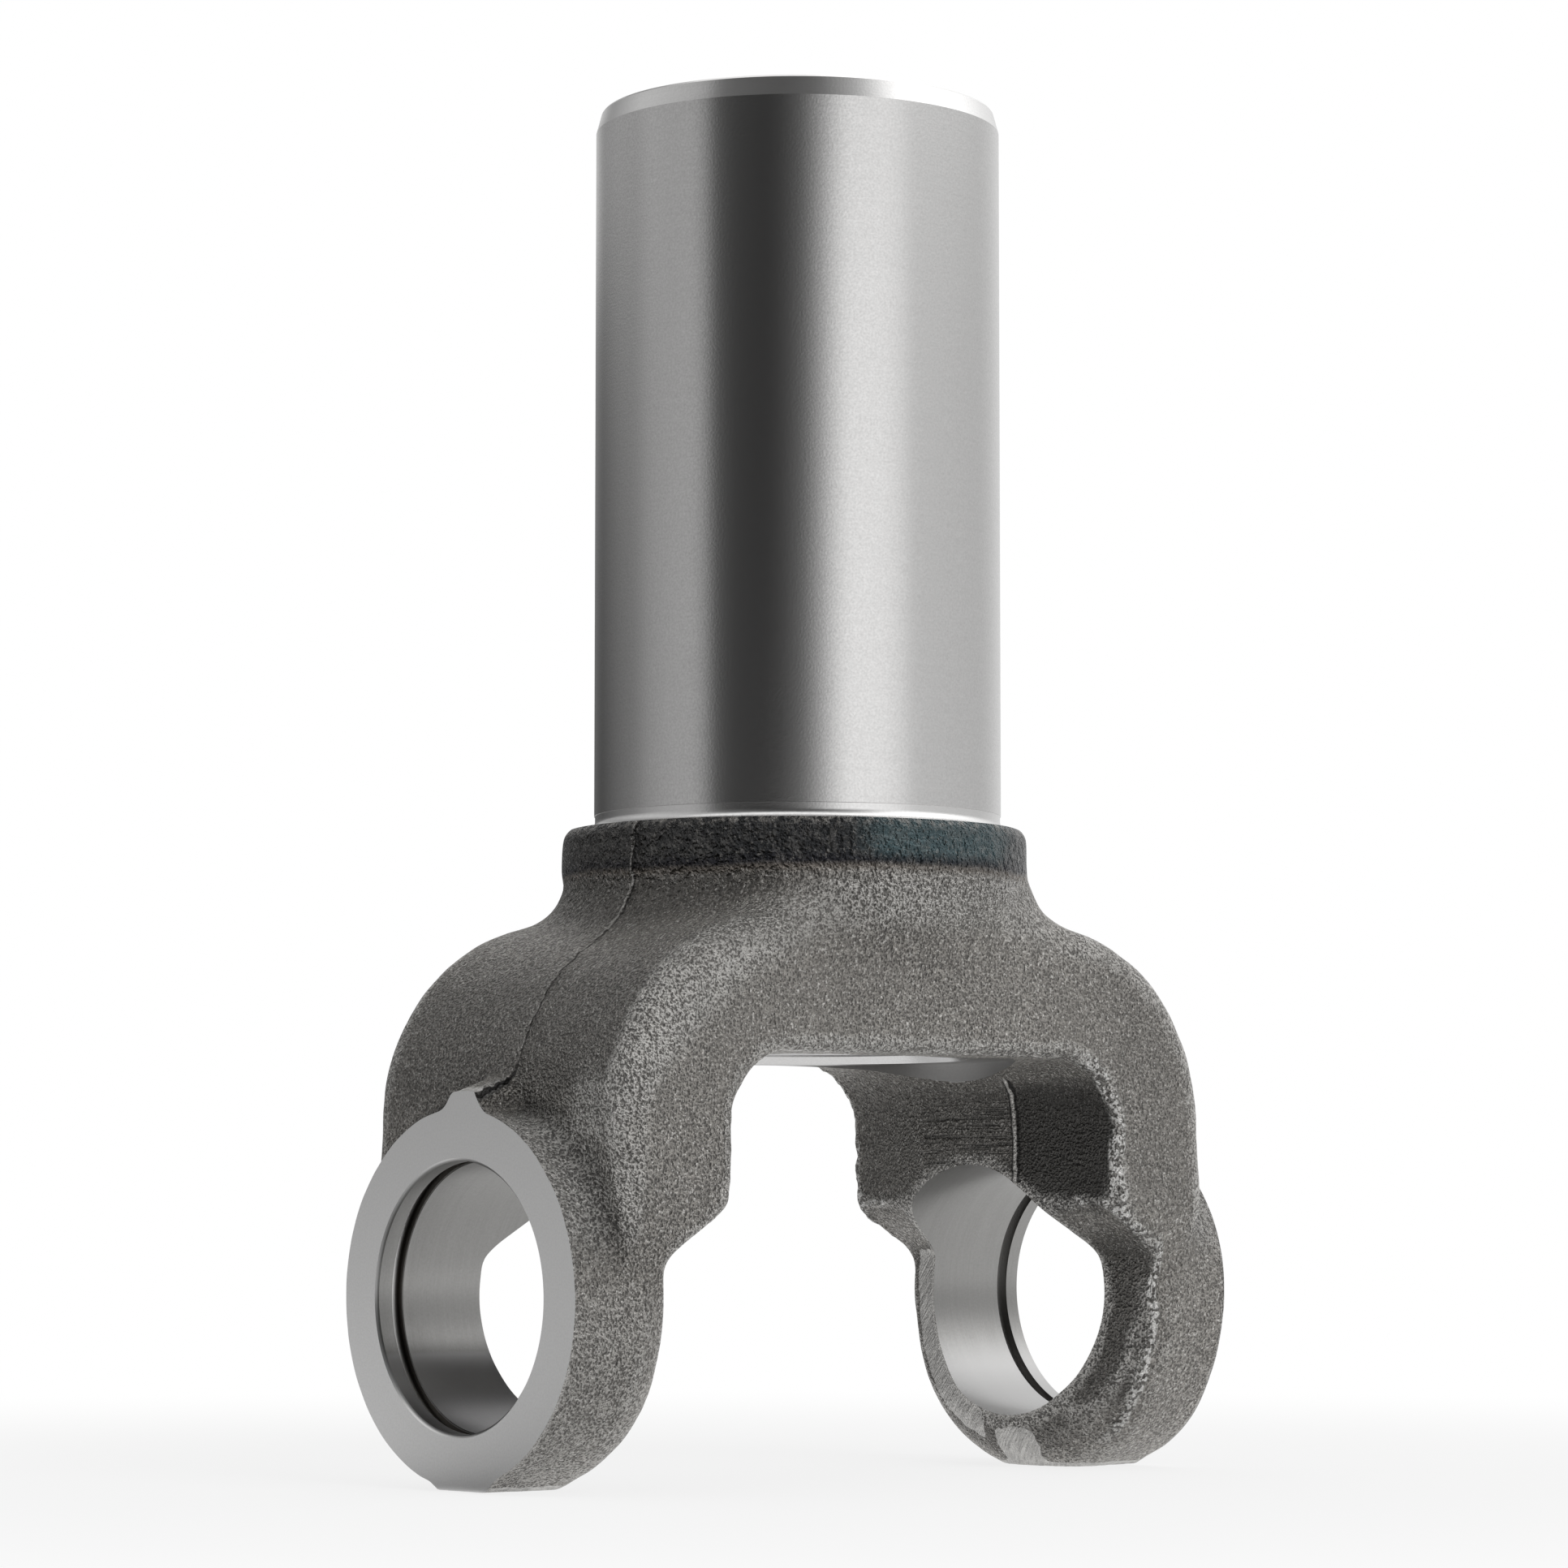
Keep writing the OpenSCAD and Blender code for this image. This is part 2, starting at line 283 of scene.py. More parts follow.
# the rough collar, turned about an axis slightly beside the barrel's
def collarRings(p):
    r, top = p["radius"], p["shoulderZ"]
    # radius and height from its widest ring and its shoulder: a hollow, a short flat and a rounded top
    side = [(-7.8, -22.9), (-5, -18.4), (-2.9, -13.9), (-1.3, -10.3), (-0.4, -7.7), (0, -5.3), (0, -3.4),
            (0, -1.9), (-0.05, -0.9), (-0.3, -0.3), (-0.7, 0.1), (-1.3, 0.5), (-2, 1.0)]
    foot, crown = top + side[0][1], top + side[-1][1]
    profile = [(shellCore, foot), (p["coreFoot"], foot)] + [(r + dr, top + dz) for dr, dz in side]
    profile.append((shellCore, crown))
    fine = []
    for (r0, z0), (r1, z1) in zip(profile, profile[1:]):
        fine += [(r0 + (r1 - r0) * t, z0 + (z1 - z0) * t) for t in (0, 0.5)]
    return turnedRings(fine + [profile[-1]], 160, offset=(p["offset"], 0, 0))


# marks that forging and trimming left; a pair is a start and a length for rise
marks = {
    "seamY": -2.9, "seamWander": 0.5, "seamFrom": (20.5, 1.5),
    "stepUp": 0.12,  # the dies' mismatch, each side of the seam
    "stepDown": -0.08, "burrBeside": 0.6, "burrWander": 0.7, "burrHeight": 0.2, "burrHalf": 0.5,
    "burrLow": (12, 1.5), "burrHigh": (26.5, -1.5), "rimReach": 32,
    "rimReachLow": 7.5,  # the torn rim lies farther out toward the ears
    "rimLow": (12, -6), "rimRadius": (14.5, 3), "rimTop": 31, "rimCrisp": (0.035, 0.07),
    "swell": ((0.14, 9.0, 0), (0.06, 3.6, 40), (0.03, 1.7, 90)),  # height, size and shift of noise
}


# signed distance in mm from the line where the dies met, a wandering line in front of the middle
def seamDistance(points):
    flat = points * [1, 0, 1]
    wander = marks["seamWander"] * noise(flat, 7.0) + 0.2 * noise(flat + 20, 2.2)
    return points[:, 1] - marks["seamY"] - wander


# where that line shows: on the outside of the bends and up the collar
def seamPlaces(points, normals):
    up = np.maximum(outward(points, normals), normals[:, 2])
    return rise(up, 0.1, 0.3) * rise(points[:, 2], *marks["seamFrom"])


# signed distance in mm from the burr that trimming left along each side of the band inside the arms
def burrDistance(points):
    x, y, z = points.T
    wander = marks["burrWander"] * noise(np.stack([x, 9 * np.sign(y), z], axis=1), 7.0)
    return np.abs(y) - fork["trimBand"] - marks["burrBeside"] - wander


# where that burr shows: on the inner faces between the ears and the crotch, mostly in front
def burrPlaces(points, normals):
    x, y, z = points.T
    inward = rise(outward(points, normals), -0.5, -0.3)
    return inward * rise(z, *marks["burrLow"]) * rise(z, *marks["burrHigh"]) * (1 - 0.8 * (y > 0))


# how far each point stands out of its own smoothed surroundings, in mm: high on crisp edges
def sharpness(points, edges, normals, rounds):
    soft = settle(points, edges, np.full(len(points), 0.5), rounds)
    return ((points - soft) * normals).sum(axis=1)


# the ragged rim where each inner face was sheared from the drafted sides
def ragged(points, edges, normals):
    x, y, z = points.T
    out = np.abs(x)
    reach = marks["rimReach"] + marks["rimReachLow"] * rise(z, *marks["rimLow"])
    place = rise(out, reach, -1.2) * rise(np.hypot(y, np.minimum(z, 0)), *marks["rimRadius"])
    place = place * (z < marks["rimTop"]) * (0.4 + 0.6 * rise(out, 22, 4)) * (1 - 0.6 * rise(x, 0, -4))
    rim = rise(sharpness(points, edges, normals, 8), *marks["rimCrisp"]) * place * rise(z, 4, 4)
    # round the right ear the rim lies on the flank, as far out as the shear cut
    fromCut = np.abs(x - fork["shearX"] - 0.4 * noise(points + 15, 3.0))
    flank = rise(fromCut, 1.0, -0.7) * rise(y, -7, -3) * rise(z, 8, -4) * rise(z, -19, 3)
    return rim + (1 - rim) * flank


# how far the skin stands out at each point, in mm: its swell, the step at the seam and the burr
def skinRelief(points, normals):
    swell = sum(height * noise(points + shift, size) for height, size, shift in marks["swell"])
    away = seamDistance(points)
    step = np.where(away > 0, marks["stepUp"] * np.exp(-away / 4), marks["stepDown"] * np.exp(away / 3))
    burr = marks["burrHeight"] * np.exp(-(burrDistance(points) / marks["burrHalf"]) ** 2)
    return swell + step * seamPlaces(points, normals) + burr * burrPlaces(points, normals)


def turnedCutter(name, profile, steps, axis):
    points, faces = closedSkin(turnedRings(profile, steps, axis))
    return meshObject(name, points, faces)


def boxCutter(name, lowCorner, highCorner):
    corners = np.array([[x, y, z] for x in (0, 1) for y in (0, 1) for z in (0, 1)], float)
    points = np.array(lowCorner) + corners * (np.array(highCorner) - np.array(lowCorner))
    faces = [[0, 1, 3, 2], [4, 6, 7, 5], [0, 4, 5, 1], [2, 3, 7, 6], [0, 2, 6, 4], [1, 5, 7, 3]]
    return meshObject(name, points, faces)


bores = {
    "grooveEdge": 2.14, "grooveWidth": 1.56, "grooveDepth": 0.95, "capChamfer": 0.35,
    "clearRadius": 18.1, "spotRadius": 25.5, "spotLow": 11, "seatChamfer": 0.9, "seatLow": 20,
    "clearTop": 60,
    "reach": 30,  # half width of the cuts that face the ears and the shoulder
    "past": 5,
}
grooveOut = faceX - bores["grooveEdge"]
grooveIn = grooveOut - bores["grooveWidth"]


# radius along X of the cut through both ears: bore, snap ring grooves and mouth chamfers
def capBoreProfile(p):
    deep, past = capR + p["grooveDepth"], faceX + 2
    half = [(capR, grooveIn), (deep, grooveIn), (deep, grooveOut), (capR, grooveOut),
            (capR, faceX - p["capChamfer"]), (capR + p["capChamfer"] + 2, past)]
    left = [(r, -x) for r, x in reversed(half)]
    middle = [(capR, x) for x in np.linspace(-44, 44, 24)]
    return [(cutterCore, -past)] + left + middle + half + [(cutterCore, past)]


# radius along Z of the cut for the plug: mouth chamfer, seat and the clear bore above it
def seatProfile(p):
    mouth, top, foot, clear = p["seatChamfer"], spotZ + seatH, p["seatLow"], p["clearRadius"]
    return [(cutterCore, foot), (seatR + mouth, foot), (seatR + mouth, spotZ), (seatR, spotZ + mouth),
            (seatR, top), (clear, top), (clear, p["clearTop"]), (cutterCore, p["clearTop"])]


# the cuts: both ear faces, the shoulder, the spot face, the plug's seat and the cap bores
def makeCutters(b):
    reach, past, spotR = b["reach"], faceX + b["past"], b["spotRadius"]
    spot = [(cutterCore, b["spotLow"]), (spotR, b["spotLow"]), (spotR, spotZ), (cutterCore, spotZ)]
    return [
        boxCutter("cutRight", (faceX, -reach, -reach), (past, reach, reach)),
        boxCutter("cutLeft", (-past, -reach, -reach), (-faceX, reach, reach)),
        boxCutter("cutShoulder", (-reach, -reach, collar["shoulderZ"]), (reach, reach, b["clearTop"])),
        turnedCutter("cutSpot", spot, 160, "z"),
        turnedCutter("cutBore", seatProfile(b), 128, "z"),
        turnedCutter("cutCaps", capBoreProfile(b), 180, "x"),
    ]


def cutAway(target, cutters):
    for tool in cutters:
        cut = target.modifiers.new(tool.name, "BOOLEAN")
        cut.operation = "DIFFERENCE"
        cut.solver = "EXACT"
        cut.object = tool
    made = applied(target.name, target)
    for tool in cutters:
        bpy.data.objects.remove(tool)
    return made


# the valley between each ear's flank and the arm, which is filled by a forged radius
def valleyPlaces(points):
    x, y, z = points.T
    flank = np.hypot(y, z) - ear["radius"] - 0.4
    reach = np.maximum(np.abs(flank), np.abs(np.abs(x) - fork["outSpread"]))
    return rise(reach, 4, -3) * rise(np.abs(y), 3, 4)


# the collar's front and back, which run into the web without an edge
def webPlaces(points):
    x, y, z = points.T
    return rise(np.abs(x), 23, -8) * rise(np.abs(y), 15, 4) * rise(z, 31, 4) * rise(z, 48.5, -4)


# the shells melted together: voxel size, and rounds of settling in the valleys, the web and all over
melting = {"voxel": 0.55, "valleyRounds": 18, "webRounds": 40, "allRounds": 3}


# several closed shells as one mesh, joined by a voxel remesh
def meltedShells(name, shells, voxel):
    points, faces, start = [], [], 0
    for rings in shells:
        p, f = closedSkin(rings)
        points.append(p)
        faces += [[i + start for i in face] for face in f]
        start += len(p)
    body = meshObject(name, np.concatenate(points), faces)
    melt = body.modifiers.new("melt", "REMESH")
    melt.mode = "VOXEL"
    melt.voxel_size = voxel * mm
    return applied(name, body)


def makeForging():
    shells = [forkRings(fork), earRings(ear, 1), earRings(ear, -1), collarRings(collar)]
    body = meltedShells("forging", shells, melting["voxel"])
    mesh = body.data
    p, edges = readPoints(mesh), readEdges(mesh)
    print("melted", len(p))
    web = webPlaces(p)
    p = settle(p, edges, 0.5 * valleyPlaces(p), melting["valleyRounds"])
    p = settle(p, edges, 0.5 * web, melting["webRounds"])
    p = settle(p, edges, np.full(len(p), 0.4), melting["allRounds"])
    writePoints(mesh, p)
    normals = readNormals(mesh)
    lumps = ragged(p, edges, normals) * (0.22 + 0.3 * noise(p + 60, 1.5) + 0.15 * noise(p + 35, 0.9))
    p = p + normals * (skinRelief(p, normals) + lumps)[:, None]
    p[:, 2] = np.maximum(p[:, 2], tipZ)
    writePoints(mesh, p)
    body = cutAway(body, makeCutters(bores))
    print("cut", len(body.data.vertices), len(body.data.polygons))
    return body


barrel = {
    "groundH": 1.8, "runout": 0.1, "filletR": 1.2, "filletUp": 1.22, "chamferH": 2.4,
    "chamferR": 0.6, "mouthR": 22.5, "steps": 640,
}
spline = {
    "teeth": 32, "minorR": 16.4, "majorR": 17.65, "lowZ": 60.0, "leadR": 18.35, "leadSlope": 0.9,
    "flank": (0.34, 0.3), "endSlope": 1.1}


# one grid turned about Z and closed along its rows: up the outside, over the end and down the
# broached bore, where the radius eases between the teeth's tips and roots round each turn
def barrelRings(b, s):
    top, cham = collar["shoulderZ"], endZ - b["chamferH"]
    # the fillet at the shoulder is a quarter round, then come the run-out and its small step
    turn = np.linspace(0, math.pi / 2, 14)
    fillet, foot = b["filletR"], b["filletR"] - b["runout"]
    outer = [(foot + 0.2, top - 1)]
    outer += [(foot - fillet * math.sin(t), top + b["filletUp"] - fillet * math.cos(t)) for t in turn]
    outer += [(-b["runout"], top + b["groundH"]), (0, top + b["groundH"] + 0.04)]
    outer += [(0, z) for z in np.linspace(top + 4, cham, 12)]
    outer += [(-0.15, cham + 0.55), (-0.3, cham + 1.1), (-0.44, cham + 1.6), (-b["chamferR"], endZ - 0.2),
              (-b["chamferR"] - 0.15, endZ)]
    radius = [barrelR + r for r, _ in outer] + list(np.linspace(b["mouthR"], s["leadR"], 5))
    height = [z for _, z in outer] + [endZ] * 5
    outside = len(outer)
    a = np.linspace(0, 2 * math.pi, b["steps"], endpoint=False)
    saw = np.abs((a * s["teeth"] / (2 * math.pi)) % 1 - 0.5) * 2
    tooth = s["minorR"] + (s["majorR"] - s["minorR"]) * rise(saw, *s["flank"])
    lead, lowZ, clear = s["leadR"], s["lowZ"], bores["clearRadius"]
    inner = [(z, lead - (endZ - z) * s["leadSlope"]) for z in np.linspace(endZ - 0.3, endZ - 3, 8)]
    inner += [(z, 0) for z in np.linspace(endZ - 8, lowZ + 1, 14)]
    inner += [(z, clear - (z - lowZ + 1.2) * s["endSlope"]) for z in np.linspace(lowZ + 0.4, lowZ - 1.4, 6)]
    rows = [np.full(b["steps"], r) for r in radius] + [np.maximum(tooth, least) for _, least in inner]
    rows += [np.full(b["steps"], clear)] * 2
    r, z = np.array(rows), np.array(height + [z for z, _ in inner] + [lowZ - 2, top - 1])[:, None]
    return np.stack([r * np.cos(a), r * np.sin(a), z + 0 * r], axis=-1), outside


def makeBarrel():
    rings, outside = barrelRings(barrel, spline)
    rows, columns = rings.shape[:2]
    quads = gridFaces(rows + 1, columns) % (rows * columns)
    made = meshObject("barrel", rings.reshape(-1, 3), quads.tolist())
    # rows of quads: ground outside, turned fillet and end, broached bore
    ground, turned, broached = 0, 1, 2
    row = np.arange(len(quads)) // columns
    finish = np.where(row < outside + 4, turned, broached)
    finish[(row > 14) & (row < outside - 6)] = ground
    made.data.polygons.foreach_set("material_index", finish)
    print("barrel", len(quads), "quads")
    return made


# which finish each face of the cut forging has, told by its place, with the skin as number 0
def finishOf(mesh):
    x, y, z = readRows(mesh.polygons, "center", 3).T / mm
    out, round0, round1 = np.abs(x), np.hypot(y, z), np.hypot(x, y)
    hair, near = 0.01, 0.02
    inGroove = (out > grooveIn - hair) & (out < grooveOut + hair)
    inCaps = (round0 < capR + near) | (inGroove & (round0 < capR + bores["grooveDepth"] + near))
    mouth = (round0 < capR + bores["capChamfer"] + near) & (out > faceX - bores["capChamfer"] - hair)
    milled = out > faceX - hair
    spotR = bores["spotRadius"]
    onSpot = (np.abs(z - spotZ) < near) | (np.abs(round1 - spotR) < 2 * near)
    spot = onSpot & (z < spotZ + near) & (z > bores["spotLow"]) & (round1 < spotR + 0.1)
    long = (round1 < seatR + near) & (z > spotZ - 1.2)
    turned = z > collar["shoulderZ"] - hair
    seat = (round1 < seatR + bores["seatChamfer"] + near) & (z > spotZ + near) & (z < spotZ + seatH - hair)
    rim = seat & (z < spotZ + bores["seatChamfer"] - near)
    finish = np.zeros(len(x), int)
    for mask, number in ((mouth | inCaps | long, 2), (seat, 4), (rim | turned, 3), (spot, 5), (milled, 1)):
        finish[mask] = number
    return finish


# a material with its tree, and the shader that it starts with
def newMaterial(name):
    m = bpy.data.materials.new(name)
    m.use_nodes = True
    return m, m.node_tree, m.node_tree.nodes["Principled BSDF"]


def addNode(tree, kind, **values):
    node = tree.nodes.new("ShaderNode" + kind)
    for key, value in values.items():
        setattr(node, key, value)
    return node


# a node whose inputs, given by slot, are constants or linked sockets, in the tree of those sockets
def addFed(kind, given, **values):
    links = {slot: value for slot, value in given.items() if not isinstance(value, (int, float, tuple))}
    tree = next(iter(links.values())).id_data
    node = addNode(tree, kind, **values)
    for slot, value in given.items():
        if slot in links:
            tree.links.new(value, node.inputs[slot])
        else:
            node.inputs[slot].default_value = value
    return node


def addMath(operation, *values):
    return addFed("Math", dict(enumerate(values)), operation=operation).outputs[0]


def times(first, second):
    return addMath("MULTIPLY", first, second)


# first times second plus third
def timesPlus(first, second, third):
    return addMath("MULTIPLY_ADD", first, second, third)


def larger(first, second):
    return addMath("MAXIMUM", first, second)


# how far a value is from a centre
def addAway(value, centre):
    return addMath("ABSOLUTE", addMath("SUBTRACT", value, centre))


# the square root of first squared plus second squared
def addLength(first, second):
    return addMath("SQRT", timesPlus(first, first, times(second, second)))


def addRange(value, fromLow, fromHigh, toLow=0.0, toHigh=1.0, smooth=True):
    given = {"Value": value, "From Min": fromLow, "From Max": fromHigh, "To Min": toLow, "To Max": toHigh}
    node = addFed("MapRange", given, interpolation_type="SMOOTHSTEP" if smooth else "LINEAR")
    return node.outputs["Result"]


def addMix(factor, first, second):
    return addFed("Mix", {0: factor, 6: first, 7: second}, data_type="RGBA").outputs[2]


# a colour laid over a base where all its masks meet
def addCoat(base, color, mask, *others):
    for other in others:
        mask = times(mask, other)
    return addMix(mask, base, color)


def addNoise(vector, scale, detail=2.0, rough=0.5, stretch=None):
    if stretch:
        vector = addMapping(vector, "Scale", stretch)
    given = {"Vector": vector, "Scale": scale, "Detail": detail, "Roughness": rough}
    return addFed("TexNoise", given).outputs["Fac"]


# noise about nought, of a given size
def addWobble(vector, scale, size):
    return times(addMath("SUBTRACT", addNoise(vector, scale), 0.5), size)


def addMapping(vector, kind, value):
    return addFed("Mapping", {"Vector": vector, kind: value}).outputs[0]


# X, Y and Z of a vector
def parts(vector):
    return addFed("SeparateXYZ", {0: vector}).outputs


def objectPlace(tree):
    return addNode(tree, "TexCoord").outputs["Object"]


# base colour, roughness and the bump of a height, linked into a shader
def feedShader(shader, base, rough, height, distance):
    bump = addFed("Bump", {"Height": height, "Strength": 1.0, "Distance": distance})
    for name, value in (("Base Color", base), ("Roughness", rough), ("Normal", bump.outputs[0])):
        shader.id_data.links.new(value, shader.inputs[name])


# a node group that turns a vector and one number into several values
def newGroup(name, number, outputs):
    tree = bpy.data.node_groups.new(name, "ShaderNodeTree")
    tree.interface.new_socket("Vector", in_out="INPUT", socket_type="NodeSocketVector")
    tree.interface.new_socket(number, in_out="INPUT", socket_type="NodeSocketFloat")
    for label in outputs:
        tree.interface.new_socket(label, in_out="OUTPUT", socket_type="NodeSocketFloat")
    given = tree.nodes.new("NodeGroupInput").outputs
    return tree, given["Vector"], given[number], tree.nodes.new("NodeGroupOutput").inputs


grainParts = ("Height", "Fleck", "Cloud", "Lump", "Spark")


# the grain of a shot-blasted forging: fine dimples, short raised worms, coarser lumps, and bright flecks that
# are painted glints
def makeBlastGroup():
    tree, vector, coarse, out = newGroup("blastedGrain", "Coarse", grainParts)
    fine = addNoise(vector, 3200, 1.0, 0.5)
    grain = addNoise(vector, 1500, 1.5, 0.5)
    worm = addRange(addAway(grain, 0.5), 0.0, 0.13, 1.0, 0.0)
    lump = addNoise(vector, 900, 2.0, 0.55)
    height = timesPlus(worm, 0.26, times(fine, 0.8))
    height = timesPlus(lump, coarse, height)
    fleck = addRange(timesPlus(worm, 0.18, fine), 0.38, 0.8)
    cloud = addNoise(vector, 70, 4.0, 0.6)
    spark = addRange(addNoise(vector, 2600, 1.5), 0.58, 0.7)
    for name, value in zip(grainParts, (height, fleck, cloud, lump, spark)):
        tree.links.new(value, out[name])
    return tree


# fine lines left by a turning, grinding or boring tool: the vector is squeezed along the axis they cross
def makeLinesGroup():
    tree, vector, fine, out = newGroup("toolLines", "Fine", ("Height", "Streak"))
    lines = addNoise(vector, 1.0, 3.0, 0.65)
    broad = addNoise(vector, 0.22, 2.0, 0.5)
    tree.links.new(times(lines, fine), out["Height"])
    tree.links.new(addMath("ADD", times(lines, 0.6), times(broad, 0.4)), out["Streak"])
    return tree


blastedGrain = makeBlastGroup()
toolLines = makeLinesGroup()

# the skin's colours, and its places in metres
skin = {
    "mid": (0.28, 0.267, 0.249, 1), "peak": (0.4, 0.382, 0.357, 1), "pit": (0.14, 0.134, 0.126, 1),
    "bright": (0.66, 0.645, 0.62, 1), "bare": (0.85, 0.84, 0.82, 1),
    # the scale colour paints shade and also darkens the scores; the next one paints shade along raised lines
    # and in the lap
    "scale": (0.07, 0.068, 0.065, 1), "crack": (0.03, 0.029, 0.028, 1),
    "tint": (0.038, 0.039, 0.041, 1), "teal": (0.08, 0.118, 0.128, 1),
    "tintEdge": (0.026, 0.026, 0.032, 1), "straw": (0.14, 0.112, 0.09, 1),
    "sheared": (0.64, 0.63, 0.61, 1), "filed": (0.4, 0.392, 0.38, 1), "tintZ": 0.0484,
    "tintWander": 0.0016, "tealSide": (0.756, -0.655, 0), "shearTilt": 0.75, "relief": 0.0011,
}


# a thin line of a given half width in mm where a signed distance is near a centre
def thinLine(distance, centre, half):
    return addRange(addAway(distance, centre), half * 0.4, half, 1.0, 0.0)


# what the skin's colour and relief share, by name: grain, fields, places and the wandering level
def skinValues(tree, p):
    s = SimpleNamespace(place=objectPlace(tree))
    grain = addFed("Group", {"Vector": s.place, "Coarse": 0.25}, node_tree=blastedGrain)
    for name in grainParts:
        setattr(s, name.lower(), grain.outputs[name])
    for name in ("edge", "band", "torn", "trim", "seam", "burr", "scale", "lap"):
        setattr(s, name, addNode(tree, "Attribute", attribute_name=name).outputs["Fac"])
    x, s.y, s.z = parts(s.place)
    s.across = addMath("ABSOLUTE", x)
    s.level = addMath("ADD", s.z, addWobble(s.place, 60, p["tintWander"]))
    return s


# the shot-blasted ground with its clouds, bright flecks as painted glints, painted shade from the scale
# field, and bright edges that are wear and painted highlight
def blastedColor(s, p):
    base = addMix(s.fleck, p["pit"], p["peak"])
    base = addCoat(base, p["mid"], addRange(s.cloud, 0.35, 0.7, 0.0, 0.35))
    base = addCoat(base, p["bright"], s.spark, 0.85)
    # painted shade where the scale field is set
    base = addCoat(base, p["scale"], s.scale, 0.75)
    return addCoat(base, p["bright"], s.edge, addRange(s.fleck, 0.25, 0.75, 0.1, 0.95))


# the torn rim is lumpy and bare, its mask broken up by the lumps, with painted shade in the gaps between the
# crumbs, and a ragged bright brim, bare metal and painted highlight, lies where the milled faces cut the
# lower flanks
def tornColor(s, p, base):
    rim = timesPlus(s.torn, 0.7, times(s.lump, 0.8))
    rim = addRange(rim, 0.7, 1.0)
    crumbs = addRange(addNoise(s.place, 1700, 1.5), 0.4, 0.58)
    base = addCoat(base, p["pit"], rim, addRange(crumbs, 0.6, 0.1, 0.0, 0.7))
    base = addCoat(base, p["bare"], rim, addRange(crumbs, 0.3, 0.9, 0.0, 0.95))
    brim = addRange(s.across, (faceX - 0.9) * mm, (faceX - 0.1) * mm)
    brim = times(brim, addRange(s.z, 0.004, -0.012))
    brim = addRange(timesPlus(s.lump, 0.8, brim), 0.95, 1.25)
    s.tornRelief = times(crumbs, rim)
    return addCoat(base, p["bright"], brim, 0.7)


# fine shear marks cross the places where flash was trimmed, the band inside the arms is scored along Y,
# and a bare lip stands round each bore's mouth
def trimmedColor(s, p, base):
    tilted = addMapping(s.place, "Rotation", (p["shearTilt"], 0, 0))
    lines = addNoise(tilted, 1.0, 3.0, 0.6, stretch=(900, 120, 3800))
    sheared = addMix(addRange(lines, 0.3, 0.7), p["filed"], p["sheared"])
    patch = timesPlus(addNoise(s.place, 420, 3.0, 0.6), 0.9, times(s.trim, 0.7))
    patch = times(addRange(patch, 0.78, 0.86), addRange(s.trim, 0.02, 0.2))
    base = addCoat(base, sheared, patch)
    scores = addNoise(s.place, 1.0, 2.0, 0.6, stretch=(150, 90, 2300))
    scores = times(addRange(scores, 0.5, 0.36), s.band)
    base = addCoat(base, p["scale"], scores, 0.6)
    radius = timesPlus(s.lump, 0.0006, addLength(s.y, s.z))
    lip = addRange(radius, (capR + 0.95) * mm, (capR + 0.6) * mm)
    lip = times(lip, addRange(s.across, (faceX - 5) * mm, (faceX - 6) * mm))
    s.patch, s.scores, s.shearRelief = patch, scores, times(lines, patch)
    return addCoat(base, p["bright"], lip, addRange(s.fleck, 0.2, 0.6, 0.3, 0.9))


# the seam of the dies is a fine raised line with painted shade along one side, which opens to a lap with
# painted shade in it beside each ear's top, and the burr is a coarser line with painted shade at its foot on
# each side
def addSeams(s):
    wobble = addWobble(s.place, 700, 0.9)
    seam = addMath("ADD", s.seam, wobble)
    burr = addMath("ADD", s.burr, wobble)
    s.seamRidge = times(thinLine(seam, 0.0, 0.24), addRange(s.lump, 0.3, 0.6, 0.25, 1.0))
    s.lapDark = times(thinLine(seam, -0.05, 0.27), s.lap)
    s.burrRidge = thinLine(burr, 0.0, 0.4)
    foot = larger(thinLine(burr, 0.55, 0.3), thinLine(burr, -0.5, 0.2))
    dark = larger(times(thinLine(seam, -0.22, 0.2), 0.7), times(foot, 0.85))
    s.dark = larger(dark, s.lapDark)


# heat tint above a wandering level on the collar, with a straw line under it:
# charcoal, with a teal patch on one side, a dark lower edge, and bare flecks at its top that are wear and
# painted highlight on its rounded edge
def tintedColor(s, p, base):
    level, tintZ = s.level, p["tintZ"]
    base = addCoat(base, p["straw"], addRange(level, tintZ - 0.0012, tintZ), 0.55)
    toward = addFed("VectorMath", {0: s.place, 1: p["tealSide"]}, operation="DOT_PRODUCT")
    cloud = timesPlus(addNoise(s.place, 90), 0.012, toward.outputs["Value"])
    teal = times(addRange(cloud, 0.011, 0.017), addRange(cloud, 0.032, 0.026))
    tint = addMix(teal, p["tint"], p["teal"])
    tint = addCoat(tint, p["pit"], addRange(cloud, 0.0, -0.018, 0.0, 0.3))
    tint = addCoat(tint, p["tintEdge"], addRange(level, tintZ + 0.0003, tintZ + 0.0019, 0.9, 0.0))
    rubbedAndLit = addRange(s.z, 0.0528, 0.0536, 0.1, 0.55)
    tint = addCoat(tint, p["peak"], rubbedAndLit, addRange(s.lump, 0.45, 0.6))
    # painted glints on the tint
    tint = addCoat(tint, p["peak"], s.spark, 0.25)
    return addCoat(base, tint, addRange(level, tintZ - 0.0004, tintZ + 0.0005))


